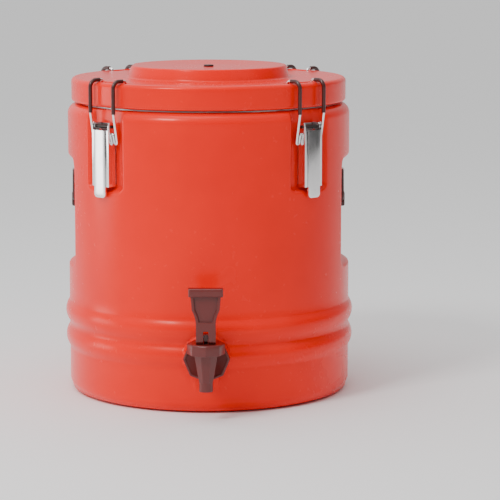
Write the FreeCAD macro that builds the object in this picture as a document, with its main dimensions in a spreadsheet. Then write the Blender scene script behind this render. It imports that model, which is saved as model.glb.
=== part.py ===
"""Insulated beverage dispenser: a drum with a steel tank, a clamped lid, two side handles and a tap.

Frame: millimetres, +Z up, origin at the centre of the base, the tap towards -Y.
"""

import FreeCAD
import Part
import Sketcher
import math
import os
import re

Vector = FreeCAD.Vector
Z_AXIS = Vector(0, 0, 1)

# Driving sizes. Heights are above the base, radii are from the drum's own axis.
SIZES = {
    # drum
    "body_radius": 180,
    "body_top": 368,
    "body_shoulder": 13,
    "body_foot": 12,
    "wall": 5,
    "mouth_radius": 152,
    "upper_rib_low": 89.5,
    "upper_rib_high": 115.5,
    "upper_rib_bend": 21.4,
    "lower_rib_low": 58,
    "lower_rib_high": 82.5,
    "lower_rib_bend": 20,
    "foam_gap": 0.2,
    # tank
    "liner_radius": 146,
    "liner_wall": 1,
    "liner_floor": 34,
    "liner_corner": 14,
    "liner_flange": 160,
    # lid
    "lid_radius": 175,
    "lid_bottom": 370.8,
    "lid_rim_top": 401,
    "lid_rim_round": 5.5,
    "lid_deck": 400,
    "slot_inner": 154,
    "slot_outer": 167,
    "slot_half_long": 25.5,
    "slot_floor": 392,
    "slot_corner": 5,
    "lid_wall": 4,
    "disc_foot_round": 3,
    "disc_edge_round": 1.5,
    "lid_foam_gap": 1,
    "disc_radius": 103,
    "disc_top": 415.5,
    "disc_slope": 4,
    "disc_dish": 2.5,
    "disc_dish_radius": 93,
    "plug_radius": 138,
    "plug_bottom": 351,
    "plug_round": 6,
    "pan_top": 375.5,
    "pan_wall": 2.5,
    "gasket_inner": 147.5,
    "gasket_outer": 157,
    "gasket_gap": 0.1,
    # vent in the middle of the lid
    "vent_bore": 3.3,
    "vent_tube_radius": 5,
    "vent_cap_radius": 6.3,
    "vent_cap_thick": 2.2,
    "vent_cap_round": 0.8,
    "vent_stem_radius": 3,
    "vent_stem_length": 40,
    # latch pockets and latches, seen along the radius through the latch
    "latch_floor": 170,
    "latch_pocket_half": 33,
    "latch_pocket_low": 268,
    "latch_pocket_corner": 12,
    "latch_pocket_edge": 5,
    "latch_plate_half": 13.2,
    "latch_plate_low": 277,
    "latch_plate_high": 352,
    "latch_sheet": 1.2,
    "latch_pivot_out": 179,
    "latch_pivot_up": 348.5,
    "latch_pin_radius": 2,
    "latch_ear_radius": 4.2,
    "latch_ear_mid": 12.5,
    "latch_arm": 9,
    "latch_arm_tilt": 5,
    "lever_half": 15,
    "lever_depth": 5.7,
    "lever_low": 274.5,
    "lever_high": 344,
    "lever_tab_low": 261,
    "lever_tab_half": 10,
    "lever_tab_rise": 1.7,
    "lever_tab_corner": 5,
    "bail_wire": 1.65,
    "bail_half": 21.1,
    "bail_out": 181.6,
    "bail_top": 403.8,
    "bail_hook_out": 161,
    "bail_hook_up": 396.6,
    "hairpin_half": 17,
    "hairpin_out": 175.5,
    "hairpin_up": 327.5,
    "sleeve_radius": 2.5,
    "sleeve_low": 364,
    "sleeve_end_out": 166.5,
    "fit": 0.05,
    "snug": 0.02,
    "end_gap": 0.4,
    "arm_bend": 1.9,
    "hairpin_bend": 2,
    "bail_knee_bend": 12,
    "bail_top_bend": 9,
    "bail_hook_bend": 3.5,
    "bail_tip_bend": 2.5,
    "rivet_radius": 2,
    "rivet_head": 3.4,
    "rivet_head_thick": 1.3,
    "rivet_grip": 3,
    # side handles
    "handle_floor": 165.5,
    "handle_pocket_half": 60.6,
    "handle_floor_low": 170.4,
    "handle_floor_high": 291.9,
    "handle_mouth_low": 161.9,
    "handle_mouth_high": 305.7,
    "handle_pocket_edge": 7,
    "handle_plate_half": 52,
    "handle_plate_low": 229,
    "handle_plate_high": 288.4,
    "handle_plate_thick": 1,
    "handle_plate_corner": 6,
    "handle_pivot_out": 169.4,
    "handle_pivot_up": 285,
    "handle_wire": 1.9,
    "knuckle_radius": 3,
    "knuckle_in": 36,
    "knuckle_out": 44.3,
    "handle_wire_end": 33,
    "handle_leg_half": 50,
    "handle_bend": 5.5,
    "grip_out": 169.9,
    "grip_up": 248.5,
    "grip_half_thick": 3,
    "grip_half_tall": 9.3,
    "grip_half_long": 43,
    "grip_round": 2.4,
    # tap
    "tap_axis": 222,
    "tap_up": 71,
    "boss_face": 186,
    "boss_radius": 29,
    "seal_thick": 2,
    "seal_radius": 24,
    "flange_radius": 28.6,
    "flange_rim": 3.2,
    "flange_rim_rise": 1.2,
    "flange_thick": 6,
    "shank_radius": 9.5,
    "shank_end": 132,
    "hole_gap": 0.3,
    "barrel_radius": 12,
    "spout_top": 83,
    "spout_top_half": 14,
    "spout_neck_up": 49,
    "spout_tip_radius": 8.4,
    "spout_tip_up": 37.5,
    "outlet_bore": 5,
    "inlet_bore": 5.5,
    "valve_bore": 8,
    "valve_seat": 62,
    "nut_seat": 145,
    "inner_seal_thick": 3,
    "inner_seal_radius": 16,
    "nut_radius": 17.3,
    "nut_thick": 8,
    "bonnet_radius": 23.2,
    "bonnet_low": 83.5,
    "bonnet_top": 97,
    "bonnet_spigot": 4.5,
    "bonnet_chamfer": 1.6,
    "stem_radius": 2.5,
    "stem_low": 68,
    "eye_low": 100,
    "eye_high": 108.5,
    "eye_front": 229.5,
    "eye_back": 217.5,
    "eye_slot_front": 227.4,
    "eye_slot_back": 219.9,
    "eye_slot_half": 2.15,
    "cup_radius": 7.2,
    "cup_gap": 0.2,
    "cup_round": 1,
    "spring_radius": 5,
    "spring_wire": 0.8,
    "spring_low": 69,
    "spring_high": 78,
    "spring_turns": 4,
    "nose_radius": 4,
    "nose_out": 231,
    "nose_up": 101.3,
    "lever_back": 213,
    "lever_neck_half": 11.85,
    "lever_neck_high": 121,
    "paddle_thick": 9,
    "paddle_half": 18.2,
    "paddle_shoulder": 16.7,
    "paddle_shoulder_up": 138.5,
    "paddle_bend": 40,
    "lip_half": 20.8,
    "lip_low": 154.5,
    "lip_high": 165,
    "lip_front": 237.6,
    "lip_round": 2.8,
    "panel_depth": 2.2,
    "panel_border": 3.6,
    "panel_low": 124,
    "slot_half": 3,
    "slot_high": 112.5,
    "tap_pin_out": 222,
    "tap_pin_up": 104,
    "tap_pin_radius": 1.5,
}

CORNERS = {"front_left": 225, "front_right": 315, "rear_right": 45, "rear_left": 135}
SIDES = {"right": 0, "left": 180}
RIVET_HEIGHTS = (285, 308, 331)
HANDLE_RIVETS = ((-24, 262), (24, 262), (-24, 279), (24, 279))

doc = FreeCAD.newDocument("beverage_dispenser")
sheet = doc.addObject("Spreadsheet::Sheet", "Sizes")
nodes = []


def fill_sheet():
    """Writes each size into the sheet, with its name as the cell's alias."""
    for row, (alias, number) in enumerate(SIZES.items(), 1):
        sheet.set(f"A{row}", alias)
        sheet.set(f"B{row}", str(number))
        sheet.setAlias(f"B{row}", alias)
    doc.recompute()


def linked(expression):
    """The expression with each size name pointed at the sheet."""
    return re.sub(r"[a-z_]+", lambda m: f"Sizes.{m[0]}" if m[0] in SIZES else m[0], str(expression))


def size(expression):
    """The number that an expression of size names comes to."""
    return float(sheet.evalExpression(str(expression)))


def bind(item, **settings):
    """Binds an object's properties to expressions of size names."""
    for name, expression in settings.items():
        item.setExpression(name, linked(expression))
    return item


def place(item, x=0, y=0, z=0, axis=Z_AXIS, turn=0):
    """Puts an object at a position bound to the sheet, turned about an axis."""
    item.Placement = FreeCAD.Placement(Vector(size(x), size(y), size(z)), FreeCAD.Rotation(axis, turn))
    for name, expression in (("x", x), ("y", y), ("z", z)):
        if expression:
            item.setExpression(f"Placement.Base.{name}", linked(expression))
    return item


def node(item, label, turn=0):
    """Keeps an object as a finished piece, turned about the drum's axis."""
    item.Label = label
    if turn:
        item.Placement = FreeCAD.Placement(Vector(), FreeCAD.Rotation(Z_AXIS, turn))
    nodes.append(item)
    return item


def box(x, y, z):
    """A box between bound limits: x, y and z are (low, high) pairs of expressions."""
    item = doc.addObject("Part::Box", "Block")
    bind(item, Length=f"{x[1]} - ({x[0]})", Width=f"{y[1]} - ({y[0]})", Height=f"{z[1]} - ({z[0]})")
    return place(item, x[0], y[0], z[0])


def rod(radius, length, axis="z", x=0, y=0, z=0):
    """A cylinder that starts at a point and runs along +X, +Y or +Z."""
    item = bind(doc.addObject("Part::Cylinder", "Rod"), Radius=radius, Height=length)
    turns = {"x": (Vector(0, 1, 0), 90), "y": (Vector(1, 0, 0), -90), "z": (Z_AXIS, 0)}
    return place(item, x, y, z, *turns[axis])


def fuse(*items):
    """One solid from several that meet."""
    item = doc.addObject("Part::MultiFuse", "Joined")
    item.Shapes = list(items)
    item.Refine = True
    return item


def cut(base, *tools):
    """The base without the tools."""
    item = doc.addObject("Part::Cut", "Cut")
    item.Base = base
    item.Tool = tools[0] if len(tools) == 1 else fuse(*tools)
    return item


def common(base, tool):
    """What two solids share."""
    item = doc.addObject("Part::Common", "Shared")
    item.Base = base
    item.Tool = tool
    return item


def group(*items):
    """Separate like solids kept as one piece."""
    item = doc.addObject("Part::Compound", "Group")
    item.Links = list(items)
    return item


def swung(item, turn):
    """A group round a solid, turned about the drum's axis, so that the solid's own place stays bound."""
    item = group(item)
    item.Placement = FreeCAD.Placement(Vector(), FreeCAD.Rotation(Z_AXIS, turn))
    return item


def rounded(base, radius, wanted):
    """Rounds the edges of a finished solid for which wanted(edge) holds."""
    doc.recompute()
    item = doc.addObject("Part::Fillet", "Rounded")
    item.Base = base
    numbers = [n for n, edge in enumerate(base.Shape.Edges, 1) if wanted(edge)]
    item.Edges = [(n, size(radius), size(radius)) for n in numbers]
    return item


def runs_along(edge, direction):
    """Is this a straight edge along the direction?"""
    if edge.Curve.TypeId != "Part::GeomLine":
        return False
    return abs(abs(edge.Curve.Direction.dot(direction)) - 1) < 1e-6


def origin_plane(body, role):
    """One of a body's own origin planes."""
    return next(f for f in body.Origin.OriginFeatures if f.Role == role)


def arc_middle(start, end, radius, side):
    """The middle of the arc from start to end that bulges to the left (1) or right (-1)."""
    chord = end - start
    left = Vector(-chord.y, chord.x, 0).normalize()
    rise = radius - math.sqrt(radius**2 - (chord.Length / 2) ** 2)
    return (start + end) / 2 + left * (side * rise)


def outline(body, plane, steps):
    """A closed sketch, with each corner bound to the sheet.

    A step is (across, up) for a straight run to that corner, or (across, up, radius, side) for an arc
    that bulges to the left (1) or right (-1) of the way there.
    """
    sketch = body.newObject("Sketcher::SketchObject", "Outline")
    sketch.AttachmentSupport = [(origin_plane(body, plane), "")]
    sketch.MapMode = "FlatFace"
    corners = [Vector(size(s[0]), size(s[1]), 0) for s in steps]
    ends = []
    for n, step in enumerate(steps):
        start, end = corners[n - 1], corners[n]
        if len(step) == 2:
            number = sketch.addGeometry(Part.LineSegment(start, end))
            ends.append((number, 1, 2))
            continue
        middle = arc_middle(start, end, size(step[2]), step[3])
        number = sketch.addGeometry(Part.Arc(start, middle, end))
        forward = sketch.getPoint(number, 1).isEqual(start, 1e-6)
        ends.append((number, 1, 2) if forward else (number, 2, 1))
    for n, step in enumerate(steps):
        number, _, last = ends[n]
        after, first, _ = ends[(n + 1) % len(steps)]
        sketch.addConstraint(Sketcher.Constraint("Coincident", number, last, after, first))
        for kind, expression, axis in (("DistanceX", step[0], -2), ("DistanceY", step[1], -1)):
            if expression == 0:
                sketch.addConstraint(Sketcher.Constraint("PointOnObject", number, last, axis))
                continue
            held = Sketcher.Constraint(kind, -1, 1, number, last, size(expression))
            sketch.setExpression(f"Constraints[{sketch.addConstraint(held)}]", linked(expression))
        if len(step) == 4:
            held = Sketcher.Constraint("Radius", number, size(step[2]))
            sketch.setExpression(f"Constraints[{sketch.addConstraint(held)}]", linked(step[2]))
    return sketch


def new_body(name):
    """An empty body."""
    return doc.addObject("PartDesign::Body", name)


def round_rings(body, rounds):
    """Fillets circular edges of a turned body: rounds holds (fillet, radius, height) expressions."""
    for fillet, radius, height in rounds:
        doc.recompute()
        base = body.Tip
        wanted = []
        for n, edge in enumerate(base.Shape.Edges, 1):
            if edge.Curve.TypeId != "Part::GeomCircle":
                continue
            near = abs(edge.Curve.Radius - size(radius)) + abs(edge.Curve.Center.z - size(height))
            if near < 1e-4:
                wanted.append(f"Edge{n}")
        item = body.newObject("PartDesign::Fillet", "Round")
        item.Base = (base, wanted)
        bind(item, Radius=fillet)


def turned(name, steps, rounds=()):
    """A solid of revolution about Z: steps are (radius, height) corners."""
    body = new_body(name)
    sketch = outline(body, "XZ_Plane", steps)
    turn = body.newObject("PartDesign::Revolution", "Turn")
    turn.Profile = sketch
    turn.ReferenceAxis = (sketch, ["V_Axis"])
    turn.Angle = 360
    round_rings(body, rounds)
    return body


def padded(name, plane, steps, length):
    """A solid pushed out equally to both sides of one of its origin planes."""
    body = new_body(name)
    pad = body.newObject("PartDesign::Pad", "Pad")
    pad.Profile = outline(body, plane, steps)
    pad.Midplane = True
    bind(pad, Length=length)
    return body


def bent_path(points, bends):
    """A wire of straight runs joined by tangent arcs: bends holds one radius per inner point."""
    edges = []
    here = points[0]
    for before, corner, after, bend in zip(points, points[1:], points[2:], bends):
        arriving = (corner - before).normalize()
        leaving = (after - corner).normalize()
        half_turn = arriving.getAngle(leaving) / 2
        setback = bend * math.tan(half_turn)
        start = corner - arriving * setback
        end = corner + leaving * setback
        inward = (leaving - arriving).normalize()
        middle = corner + inward * (bend / math.cos(half_turn) - bend)
        edges.append(Part.LineSegment(here, start).toShape())
        edges.append(Part.Arc(start, middle, end).toShape())
        here = end
    edges.append(Part.LineSegment(here, points[-1]).toShape())
    return Part.Wire(edges)


def swept(points, bends, radius):
    """A round bar along a bent path."""
    path = bent_path(points, bends)
    ring = Part.Wire(Part.makeCircle(radius, points[0], points[1] - points[0]))
    return path.makePipeShell([ring], True, False)


def shaped(shape, label, turn=0):
    """A piece whose shape is given whole."""
    item = doc.addObject("Part::Feature", label)
    item.Shape = shape
    return node(item, label, turn)


def latch_pocket():
    """The recess that one latch lies in, open at the top of the drum."""
    slab = box(
        ("latch_floor", "body_radius + 30"),
        ("-latch_pocket_half", "latch_pocket_half"),
        ("latch_pocket_low", "body_top + 20"),
    )
    low = size("latch_pocket_low")
    floor = size("latch_floor")
    across = Vector(1, 0, 0)
    sided = rounded(
        slab,
        "latch_pocket_corner",
        lambda e: runs_along(e, across) and e.CenterOfMass.z < low + 1,
    )
    return rounded(sided, "latch_pocket_edge", lambda e: e.CenterOfMass.x < floor + 0.01 and not is_top(e))


def is_top(edge):
    """Is this edge at the open upper end of a latch pocket?"""
    return edge.CenterOfMass.z > size("body_top + 19")


def handle_pocket():
    """The recess that one side handle hangs in, with sloped ends."""
    slab = padded(
        "HandlePocket",
        "XZ_Plane",
        [
            ("handle_floor", "handle_floor_low"),
            ("body_radius", "handle_mouth_low"),
            ("body_radius + 30", "handle_mouth_low"),
            ("body_radius + 30", "handle_mouth_high"),
            ("body_radius", "handle_mouth_high"),
            ("handle_floor", "handle_floor_high"),
        ],
        "2 * handle_pocket_half",
    )
    floor = size("handle_floor")
    return rounded(slab, "handle_pocket_edge", lambda e: e.CenterOfMass.x < floor + 0.01)


def backing(floor, half, low, high, gap):
    """The wall behind a recess, inside the drum, grown by a gap for what lies round it."""
    return box(
        (f"{floor} - wall - {gap}", "body_radius"),
        (f"-{half} - wall - {gap}", f"{half} + wall + {gap}"),
        (f"{low} - wall - {gap}", f"{high} + {gap}"),
    )


def backings(gap):
    """The walls behind all six recesses."""
    latches = [
        swung(backing("latch_floor", "latch_pocket_half", "latch_pocket_low", "body_top - wall / 2", gap), turn)
        for turn in CORNERS.values()
    ]
    handles = [
        swung(backing("handle_floor", "handle_pocket_half", "handle_mouth_low", "handle_mouth_high + wall", gap), turn)
        for turn in SIDES.values()
    ]
    return fuse(*latches, *handles)


def across_tap(radius, near, far):
    """A rod along Y on the tap's level, between two distances in front of the axis."""
    return rod(radius, f"{far} - ({near})", "y", 0, f"-({far})", "tap_up")


def outer_shell():
    """The drum's plastic skin: ribs, six recesses and the boss behind the tap."""
    skin = turned(
        "DrumSkin",
        [
            (0, 0),
            ("body_radius", 0),
            ("body_radius", "lower_rib_low"),
            ("body_radius", "lower_rib_high", "lower_rib_bend", -1),
            ("body_radius", "upper_rib_low"),
            ("body_radius", "upper_rib_high", "upper_rib_bend", -1),
            ("body_radius", "body_top"),
            ("mouth_radius", "body_top"),
            ("mouth_radius", "body_top - wall"),
            ("body_radius - wall", "body_top - wall"),
            ("body_radius - wall", "wall"),
            (0, "wall"),
        ],
        [
            ("body_shoulder", "body_radius", "body_top"),
            ("body_shoulder - wall", "body_radius - wall", "body_top - wall"),
            ("body_foot", "body_radius", 0),
            ("body_foot - wall", "body_radius - wall", "wall"),
        ],
    )
    inside = rod("body_radius - wall / 2", "body_top - wall - wall / 2", z="wall / 2")
    boss = across_tap("boss_radius", "body_radius - wall", "boss_face")
    full = fuse(skin, common(backings(0), inside), boss)
    recesses = [swung(latch_pocket(), turn) for turn in CORNERS.values()]
    recesses += [swung(handle_pocket(), turn) for turn in SIDES.values()]
    holes = [across_tap("shank_radius + hole_gap", "body_radius - 2 * wall", "boss_face + wall")]
    holes += [swung(rivet_hole("latch_floor", 0, up), turn) for up in RIVET_HEIGHTS for turn in CORNERS.values()]
    holes += [swung(rivet_hole("handle_floor", y, up), turn) for y, up in HANDLE_RIVETS for turn in SIDES.values()]
    return cut(full, *recesses, *holes)


def rivet_hole(floor, y, up):
    """A blind hole for one rivet."""
    return rod("rivet_radius + fit", "rivet_grip + wall", "x", f"{floor} - rivet_grip", y, up)


def foam_insulation():
    """The foam between the drum's skin and the tank."""
    ring = turned(
        "FoamRing",
        [
            (0, "wall + foam_gap"),
            ("body_radius - wall - foam_gap", "wall + foam_gap"),
            ("body_radius - wall - foam_gap", "body_top - wall - foam_gap"),
            ("liner_radius + liner_wall + foam_gap", "body_top - wall - foam_gap"),
            ("liner_radius + liner_wall + foam_gap", "liner_floor - liner_wall - foam_gap"),
            (0, "liner_floor - liner_wall - foam_gap"),
        ],
        [
            ("body_shoulder - wall", "body_radius - wall - foam_gap", "body_top - wall - foam_gap"),
            ("body_foot - wall", "body_radius - wall - foam_gap", "wall + foam_gap"),
        ],
    )
    return cut(ring, backings("foam_gap"), across_tap("shank_radius + hole_gap", "liner_radius", "body_radius"))


def inner_liner():
    """The steel tank, with a rolled flange that lies on the drum's mouth."""
    tank = turned(
        "Tank",
        [
            (0, "liner_floor - liner_wall"),
            ("liner_radius + liner_wall", "liner_floor - liner_wall"),
            ("liner_radius + liner_wall", "body_top"),
            ("liner_flange", "body_top"),
            ("liner_flange", "body_top + liner_wall"),
            ("liner_radius", "body_top + liner_wall"),
            ("liner_radius", "liner_floor"),
            (0, "liner_floor"),
        ],
        [("liner_corner", "liner_radius", "liner_floor")],
    )
    return cut(tank, across_tap("shank_radius + hole_gap", "nut_seat - liner_corner", "liner_radius + wall"))


def lid_shell():
    """The lid's plastic top: rim, hook groove, deck and raised disc."""
    cover = turned(
        "LidCover",
        [
            ("lid_radius", "lid_bottom"),
            ("lid_radius", "lid_rim_top"),
            ("disc_radius", "lid_deck"),
            ("disc_radius - disc_slope", "disc_top"),
            ("disc_dish_radius", "disc_top"),
            ("disc_dish_radius / 2", "disc_top - disc_dish"),
            ("vent_tube_radius + foam_gap", "disc_top - disc_dish"),
            ("vent_tube_radius + foam_gap", "disc_top - disc_dish - lid_wall"),
            ("disc_dish_radius / 2", "disc_top - disc_dish - lid_wall"),
            ("disc_dish_radius", "disc_top - lid_wall"),
            ("disc_radius - disc_slope - lid_wall", "disc_top - lid_wall"),
            ("disc_radius - lid_wall", "lid_deck - lid_wall"),
            ("lid_radius - lid_wall", "lid_rim_top - lid_wall"),
            ("lid_radius - lid_wall", "lid_bottom"),
        ],
        [
            ("lid_rim_round", "lid_radius", "lid_rim_top"),
            ("disc_foot_round", "disc_radius", "lid_deck"),
            ("disc_edge_round", "disc_radius - disc_slope", "disc_top"),
        ],
    )
    walls = [swung(hook_slot("lid_wall", "lid_deck - lid_wall / 2"), turn) for turn in CORNERS.values()]
    slots = [swung(hook_slot("0", "lid_rim_top + lid_wall"), turn) for turn in CORNERS.values()]
    return cut(fuse(cover, *walls), finger_bevel(), *slots)


def hook_slot(wall, top):
    """The slot in the lid's top that one bail hooks into, grown by a wall on every side but the top."""
    block = box(
        (f"slot_inner - {wall}", f"min(slot_outer + {wall}; lid_radius - lid_wall / 2)"),
        (f"-slot_half_long - {wall}", f"slot_half_long + {wall}"),
        (f"slot_floor - {wall}", top),
    )
    return rounded(block, "slot_corner", lambda e: runs_along(e, Z_AXIS))


def finger_bevel():
    """The slanted cut across the left edge of the raised disc."""
    return padded(
        "Bevel",
        "XZ_Plane",
        [
            ("-disc_radius - 5", "lid_deck + 3"),
            ("-disc_radius + 7", "disc_top + 3"),
            ("-disc_radius - 5", "disc_top + 3"),
        ],
        "disc_radius",
    )


def lid_pan():
    """The lid's under side, with the plug that goes down into the tank."""
    return turned(
        "LidPan",
        [
            ("vent_tube_radius + foam_gap", "plug_bottom"),
            ("plug_radius", "plug_bottom"),
            ("plug_radius", "lid_bottom"),
            ("lid_radius - lid_wall - foam_gap", "lid_bottom"),
            ("lid_radius - lid_wall - foam_gap", "lid_bottom + pan_wall"),
            ("plug_radius - pan_wall", "lid_bottom + pan_wall"),
            ("plug_radius - pan_wall", "plug_bottom + pan_wall"),
            ("vent_tube_radius + foam_gap", "plug_bottom + pan_wall"),
        ],
        [("plug_round", "plug_radius", "plug_bottom")],
    )


def lid_foam():
    """The foam inside the lid."""
    return turned(
        "LidFoam",
        [
            ("vent_tube_radius + foam_gap", "plug_bottom + pan_wall + foam_gap"),
            ("plug_radius - pan_wall - lid_foam_gap", "plug_bottom + pan_wall + foam_gap"),
            ("plug_radius - pan_wall - lid_foam_gap", "lid_bottom + pan_wall + foam_gap"),
            ("lid_radius - lid_wall - lid_foam_gap", "lid_bottom + pan_wall + foam_gap"),
            ("lid_radius - lid_wall - lid_foam_gap", "slot_floor - lid_wall - lid_foam_gap"),
            ("disc_radius - 2 * lid_wall", "slot_floor - lid_wall - lid_foam_gap"),
            ("disc_radius - disc_slope - 2 * lid_wall", "disc_top - disc_dish - lid_wall - lid_foam_gap"),
            ("vent_tube_radius + foam_gap", "disc_top - disc_dish - lid_wall - lid_foam_gap"),
        ],
    )


def lid_gasket():
    """The soft ring between the lid and the tank's flange."""
    return turned(
        "LidGasket",
        [
            ("gasket_inner", "body_top + liner_wall + gasket_gap"),
            ("gasket_outer", "body_top + liner_wall + gasket_gap"),
            ("gasket_outer", "lid_bottom"),
            ("gasket_inner", "lid_bottom"),
        ],
    )


def vent_tube():
    """The tube that lets air through the lid while liquid is drawn."""
    return turned(
        "VentTube",
        [
            ("vent_bore", "plug_bottom"),
            ("vent_tube_radius", "plug_bottom"),
            ("vent_tube_radius", "disc_top - disc_dish"),
            ("vent_bore", "disc_top - disc_dish"),
        ],
    )


def vent_plug():
    """The cap that closes the vent, pulled up to open it."""
    return turned(
        "VentPlug",
        [
            (0, "disc_top - disc_dish - vent_stem_length"),
            ("vent_stem_radius", "disc_top - disc_dish - vent_stem_length"),
            ("vent_stem_radius", "disc_top - disc_dish + foam_gap"),
            ("vent_cap_radius", "disc_top - disc_dish + foam_gap"),
            ("vent_cap_radius", "disc_top - disc_dish + foam_gap + vent_cap_thick"),
            (0, "disc_top - disc_dish + foam_gap + vent_cap_thick"),
        ],
        [("vent_cap_round", "vent_cap_radius", "disc_top - disc_dish + foam_gap + vent_cap_thick")],
    )


def rivet(floor, y, up):
    """A domed rivet standing on a plate, with its shank in the wall behind."""
    head = bind(
        doc.addObject("Part::Cone", "Head"),
        Radius1="rivet_head",
        Radius2="rivet_head - rivet_head_thick",
        Height="rivet_head_thick",
    )
    place(head, floor, y, up, Vector(0, 1, 0), 90)
    return fuse(head, rod("rivet_radius", "rivet_grip", "x", f"{floor} - rivet_grip", y, up))


def latch_base():
    """The plate riveted into the pocket, with two ears for the pivot."""
    plate = box(
        ("latch_floor", "latch_floor + latch_sheet"),
        ("-latch_plate_half", "latch_plate_half"),
        ("latch_plate_low", "latch_plate_high"),
    )
    ears = []
    for side in (-1, 1):
        middle = f"{side} * latch_ear_mid"
        low = f"{middle} - latch_sheet / 2"
        ears.append(
            box(
                ("latch_floor", "latch_pivot_out"),
                (low, f"{middle} + latch_sheet / 2"),
                ("latch_pivot_up - latch_ear_radius", "latch_pivot_up + latch_ear_radius"),
            )
        )
        ears.append(rod("latch_ear_radius", "latch_sheet", "y", "latch_pivot_out", low, "latch_pivot_up"))
    pin = rod(
        "latch_pin_radius + snug",
        "4 * latch_ear_mid",
        "y",
        "latch_pivot_out",
        "-2 * latch_ear_mid",
        "latch_pivot_up",
    )
    rivets = [rivet_hole("latch_floor", 0, up) for up in RIVET_HEIGHTS]
    return cut(fuse(plate, *ears), pin, *rivets)


def latch_pin():
    """The latch's pivot pin."""
    return rod(
        "latch_pin_radius",
        "2 * (lever_half + latch_sheet)",
        "y",
        "latch_pivot_out",
        "-(lever_half + latch_sheet)",
        "latch_pivot_up",
    )


ARM_OUT = "(latch_pivot_out - latch_arm * sin(latch_arm_tilt * 1 deg))"
ARM_UP = "(latch_pivot_up - latch_arm * cos(latch_arm_tilt * 1 deg))"


def latch_lever():
    """The pressed steel lever: a channel with a raised middle that ends in a finger tab."""
    face = "latch_pivot_out + lever_depth"
    channel = box(
        ("latch_pivot_out - lever_depth", face),
        ("-lever_half", "lever_half"),
        ("lever_low", "latch_pivot_up"),
    )
    ends = rod("lever_depth", "2 * lever_half", "y", "latch_pivot_out", "-lever_half", "latch_pivot_up")
    hollow = box(
        ("latch_pivot_out - 2 * lever_depth", f"{face} - latch_sheet"),
        ("-lever_half + latch_sheet", "lever_half - latch_sheet"),
        ("lever_low - 1", "latch_pivot_up + 2 * lever_depth"),
    )
    window = box(
        ("latch_pivot_out - 2 * lever_depth", "latch_pivot_out + 2 * lever_depth"),
        ("-lever_half + latch_sheet", "lever_half - latch_sheet"),
        ("lever_high", "latch_pivot_up + 2 * lever_depth"),
    )
    strip = box(
        (f"{face} - latch_sheet", f"{face} + lever_tab_rise"),
        ("-lever_tab_half", "lever_tab_half"),
        ("lever_tab_low", "lever_high"),
    )
    low = size("lever_tab_low")
    across = Vector(1, 0, 0)
    tab = rounded(strip, "lever_tab_corner", lambda e: runs_along(e, across) and e.CenterOfMass.z < low + 1)
    behind = box(
        (f"{face} - 2 * latch_sheet", f"{face} + lever_tab_rise - latch_sheet"),
        ("-lever_tab_half + latch_sheet", "lever_tab_half - latch_sheet"),
        ("lever_tab_low - 1", "lever_high - latch_sheet"),
    )
    pin = rod(
        "latch_pin_radius + fit",
        "4 * lever_half",
        "y",
        "latch_pivot_out",
        "-2 * lever_half",
        "latch_pivot_up",
    )
    arm = rod("bail_wire + fit", "4 * lever_half", "y", ARM_OUT, "-2 * lever_half", ARM_UP)
    plain = cut(fuse(channel, ends), hollow)
    return cut(fuse(plain, tab), window, behind, pin, arm)


def bail_points():
    """Corners and bends of the bail's wire on the +Y side, from the lever to the middle of the hook."""
    arm_out, arm_up = size(ARM_OUT), size(ARM_UP)
    side, pin = size("bail_half"), size("hairpin_half")
    out, top = size("bail_out"), size("bail_top")
    points = [
        Vector(arm_out, size("lever_half - latch_sheet - end_gap"), arm_up),
        Vector(arm_out, pin, arm_up),
        Vector(size("hairpin_out"), pin, size("hairpin_up")),
        Vector(size("hairpin_out"), side, size("hairpin_up")),
        Vector(out, side, size("sleeve_low")),
        Vector(out, side, top),
        Vector(size("bail_hook_out"), side, top),
        Vector(size("bail_hook_out"), side, size("bail_hook_up")),
    ]
    names = ("arm", "hairpin", "hairpin", "bail_knee", "bail_top", "bail_hook", "bail_tip")
    bends = [size(f"{name}_bend") for name in names]
    return points, bends


def mirrored(point):
    """The same point on the other side of the latch."""
    return Vector(point.x, -point.y, point.z)


def latch_bail():
    """The spring wire from the lever up over the lid's rim, with a hairpin at each foot."""
    points, bends = bail_points()
    whole = points + [mirrored(p) for p in reversed(points)]
    return swept(whole, bends + list(reversed(bends)), size("bail_wire"))


def latch_sleeves():
    """The two plastic sleeves on the bail's legs."""
    out, side, top = size("bail_out"), size("bail_half"), size("bail_top")
    points = [
        Vector(out, side, size("sleeve_low")),
        Vector(out, side, top),
        Vector(size("sleeve_end_out"), side, top),
    ]
    bends = [size("bail_top_bend")]
    pair = []
    for line in (points, [mirrored(p) for p in points]):
        bore = swept(line, bends, size("bail_wire + snug"))
        pair.append(swept(line, bends, size("sleeve_radius")).cut(bore))
    return Part.makeCompound([part.Solids[0] for part in pair])


def handle_plate():
    """The plate riveted into a side recess, with two knuckles for the handle."""
    slab = box(
        ("handle_floor", "handle_floor + handle_plate_thick"),
        ("-handle_plate_half", "handle_plate_half"),
        ("handle_plate_low", "handle_plate_high"),
    )
    across = Vector(1, 0, 0)
    plate = rounded(slab, "handle_plate_corner", lambda e: runs_along(e, across))
    pieces = [plate]
    for start in ("knuckle_in", "-knuckle_out"):
        pieces.append(
            rod("knuckle_radius", "knuckle_out - knuckle_in", "y", "handle_pivot_out", start, "handle_pivot_up")
        )
    bore = rod(
        "handle_wire + fit",
        "2 * handle_plate_half",
        "y",
        "handle_pivot_out",
        "-handle_plate_half",
        "handle_pivot_up",
    )
    rivets = [rivet_hole("handle_floor", y, up) for y, up in HANDLE_RIVETS]
    return cut(fuse(*pieces), bore, *rivets)


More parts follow.
